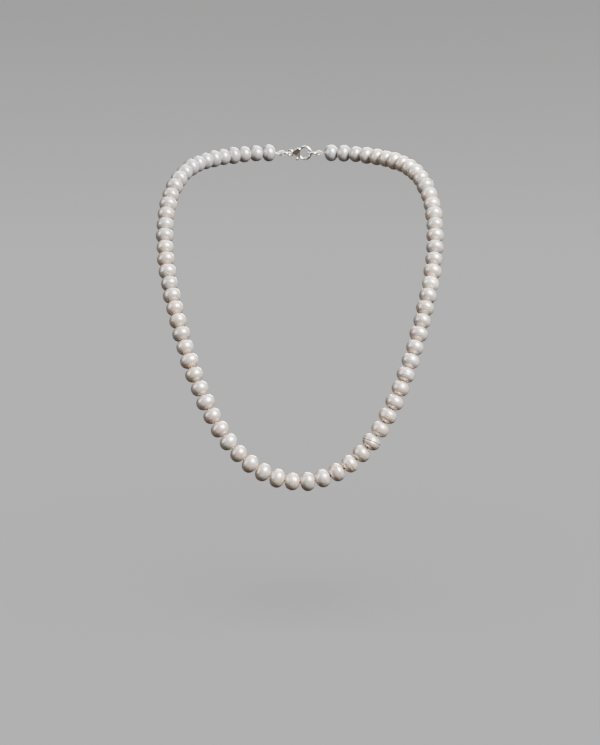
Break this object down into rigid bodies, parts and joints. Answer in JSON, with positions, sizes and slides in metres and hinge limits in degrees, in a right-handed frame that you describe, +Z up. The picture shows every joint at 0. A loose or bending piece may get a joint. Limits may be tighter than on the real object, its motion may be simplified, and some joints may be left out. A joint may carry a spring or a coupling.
{
  "type": "pearl necklace",
  "caption": "Knotted strand of off-round freshwater pearls on silk thread, shaped as it lies round a neck and down the chest, with a lobster claw clasp at the nape.",
  "frame": {"origin": "middle of the neck that the strand goes round, level with the strand where it starts round the nape", "axes": "+Z up, -Y out of the chest towards the viewer, +X to the viewer's right; left and right in the names are the viewer's"},
  "size_m": [0.1258, 0.137, 0.1392],
  "materials": {
    "pearl": "satin nacre, white to cream with pink and grey overtones",
    "silk": "twisted ivory silk, waxed by handling",
    "silver": "polished sterling silver with fine wear",
    "silver_wire": "closely coiled fine silver wire",
    "spring_steel": "drawn spring wire"
  },
  "bodies": {
    "strand_nape": {"pearls_nape_left": "pearl", "pearls_nape_right": "pearl", "silk_nape_left": "silk", "silk_nape_right": "silk", "french_wire_left": "silver_wire", "french_wire_right": "silver_wire"},
    "claw": {"claw_body": "silver", "gate_rivet": "silver", "gate_spring": "spring_steel"},
    "gate": {"gate_lever": "silver"},
    "jump_ring": {"jump_ring": "silver"},
    "catch_ring": {"catch_ring": "silver"},
    "strand_left_1": {"pearls_left_1": "pearl", "silk_left_1": "silk"},
    "strand_left_2": {"pearls_left_2": "pearl", "silk_left_2": "silk"},
    "strand_left_3": {"pearls_left_3": "pearl", "silk_left_3": "silk"},
    "strand_left_4": {"pearls_left_4": "pearl", "silk_left_4": "silk"},
    "strand_left_5": {"pearls_left_5": "pearl", "silk_left_5": "silk"},
    "strand_left_6": {"pearls_left_6": "pearl", "silk_left_6": "silk"},
    "strand_left_7": {"pearls_left_7": "pearl", "silk_left_7": "silk"},
    "strand_left_8": {"pearls_left_8": "pearl", "silk_left_8": "silk"},
    "strand_left_9": {"pearls_left_9": "pearl", "silk_left_9": "silk"},
    "strand_right_1": {"pearls_right_1": "pearl", "silk_right_1": "silk"},
    "strand_right_2": {"pearls_right_2": "pearl", "silk_right_2": "silk"},
    "strand_right_3": {"pearls_right_3": "pearl", "silk_right_3": "silk"},
    "strand_right_4": {"pearls_right_4": "pearl", "silk_right_4": "silk"},
    "strand_right_5": {"pearls_right_5": "pearl", "silk_right_5": "silk"},
    "strand_right_6": {"pearls_right_6": "pearl", "silk_right_6": "silk"},
    "strand_right_7": {"pearls_right_7": "pearl", "silk_right_7": "silk"},
    "strand_right_8": {"pearls_right_8": "pearl", "silk_right_8": "silk"},
    "strand_right_9": {"pearls_right_9": "pearl", "silk_right_9": "silk"},
    "strand_drop": {"pearls_drop": "pearl", "silk_drop": "silk"}
  },
  "joints": [
    {"name": "claw_roll", "type": "hinge", "parent": "strand_nape", "child": "claw", "pos_m": [0.00229, 0.03869, 0.0056], "axis": [1, 0, 0], "range_deg": [-25, 25]},
    {"name": "gate_swing", "type": "hinge", "parent": "claw", "child": "gate", "pos_m": [-0.00066, 0.03869, 0.00485], "axis": [0, 1, 0], "range_deg": [0, 24], "stiffness_Nm_per_rad": 0.002, "springref_deg": -17.19, "deforming": ["gate_spring"]},
    {"name": "jump_ring_turn", "type": "hinge", "parent": "strand_nape", "child": "jump_ring", "pos_m": [-0.00677, 0.03869, 0.0056], "axis": [0, 0, 1], "continuous": true},
    {"name": "catch_ring_turn", "type": "hinge", "parent": "strand_nape", "child": "catch_ring", "pos_m": [0.00637, 0.03869, 0.0056], "axis": [0, 0, 1], "continuous": true},
    {"name": "bend_left_1", "type": "hinge", "parent": "strand_nape", "child": "strand_left_1", "pos_m": [-0.05141, 0.00092, -0.00121], "axis": [-1, 0, 0], "range_deg": [0, 18]},
    {"name": "bend_left_2", "type": "hinge", "parent": "strand_left_1", "child": "strand_left_2", "pos_m": [-0.05714, -0.01507, -0.00998], "axis": [-1, 0, 0], "range_deg": [0, 18]},
    {"name": "bend_left_3", "type": "hinge", "parent": "strand_left_2", "child": "strand_left_3", "pos_m": [-0.05921, -0.02985, -0.022], "axis": [-1, 0, 0], "range_deg": [0, 18]},
    {"name": "bend_left_4", "type": "hinge", "parent": "strand_left_3", "child": "strand_left_4", "pos_m": [-0.05832, -0.04315, -0.03578], "axis": [-1, 0, 0], "range_deg": [0, 18]},
    {"name": "bend_left_5", "type": "hinge", "parent": "strand_left_4", "child": "strand_left_5", "pos_m": [-0.05525, -0.05531, -0.0503], "axis": [-1, 0, 0], "range_deg": [0, 18]},
    {"name": "bend_left_6", "type": "hinge", "parent": "strand_left_5", "child": "strand_left_6", "pos_m": [-0.05078, -0.06672, -0.06507], "axis": [-1, 0, 0], "range_deg": [0, 18]},
    {"name": "bend_left_7", "type": "hinge", "parent": "strand_left_6", "child": "strand_left_7", "pos_m": [-0.0452, -0.07615, -0.08082], "axis": [-1, 0, 0], "range_deg": [0, 18]},
    {"name": "bend_left_8", "type": "hinge", "parent": "strand_left_7", "child": "strand_left_8", "pos_m": [-0.03787, -0.08306, -0.09713], "axis": [-1, 0, 0], "range_deg": [0, 18]},
    {"name": "bend_left_9", "type": "hinge", "parent": "strand_left_8", "child": "strand_left_9", "pos_m": [-0.02758, -0.08751, -0.11265], "axis": [-1, 0, 0], "range_deg": [0, 18]},
    {"name": "bend_right_1", "type": "hinge", "parent": "strand_nape", "child": "strand_right_1", "pos_m": [0.05141, 0.00092, -0.00121], "axis": [-1, 0, 0], "range_deg": [0, 18]},
    {"name": "bend_right_2", "type": "hinge", "parent": "strand_right_1", "child": "strand_right_2", "pos_m": [0.05714, -0.01507, -0.00998], "axis": [-1, 0, 0], "range_deg": [0, 18]},
    {"name": "bend_right_3", "type": "hinge", "parent": "strand_right_2", "child": "strand_right_3", "pos_m": [0.05921, -0.02985, -0.022], "axis": [-1, 0, 0], "range_deg": [0, 18]},
    {"name": "bend_right_4", "type": "hinge", "parent": "strand_right_3", "child": "strand_right_4", "pos_m": [0.05832, -0.04315, -0.03578], "axis": [-1, 0, 0], "range_deg": [0, 18]},
    {"name": "bend_right_5", "type": "hinge", "parent": "strand_right_4", "child": "strand_right_5", "pos_m": [0.05525, -0.05531, -0.0503], "axis": [-1, 0, 0], "range_deg": [0, 18]},
    {"name": "bend_right_6", "type": "hinge", "parent": "strand_right_5", "child": "strand_right_6", "pos_m": [0.05078, -0.06672, -0.06507], "axis": [-1, 0, 0], "range_deg": [0, 18]},
    {"name": "bend_right_7", "type": "hinge", "parent": "strand_right_6", "child": "strand_right_7", "pos_m": [0.0452, -0.07615, -0.08082], "axis": [-1, 0, 0], "range_deg": [0, 18]},
    {"name": "bend_right_8", "type": "hinge", "parent": "strand_right_7", "child": "strand_right_8", "pos_m": [0.03787, -0.08306, -0.09713], "axis": [-1, 0, 0], "range_deg": [0, 18]},
    {"name": "bend_right_9", "type": "hinge", "parent": "strand_right_8", "child": "strand_right_9", "pos_m": [0.02758, -0.08751, -0.11265], "axis": [-1, 0, 0], "range_deg": [0, 18]},
    {"name": "bend_drop", "type": "hinge", "parent": "strand_left_9", "child": "strand_drop", "pos_m": [-0.01241, -0.09061, -0.12371], "axis": [-1, 0, 0], "range_deg": [0, 18]}
  ],
  "couplings": [
    {"joint": "bend_right_1", "follows": "bend_left_1", "ratio": 1},
    {"joint": "bend_right_2", "follows": "bend_left_2", "ratio": 1},
    {"joint": "bend_right_3", "follows": "bend_left_3", "ratio": 1},
    {"joint": "bend_right_4", "follows": "bend_left_4", "ratio": 1},
    {"joint": "bend_right_5", "follows": "bend_left_5", "ratio": 1},
    {"joint": "bend_right_6", "follows": "bend_left_6", "ratio": 1},
    {"joint": "bend_right_7", "follows": "bend_left_7", "ratio": 1},
    {"joint": "bend_right_8", "follows": "bend_left_8", "ratio": 1},
    {"joint": "bend_right_9", "follows": "bend_left_9", "ratio": 1}
  ]
}
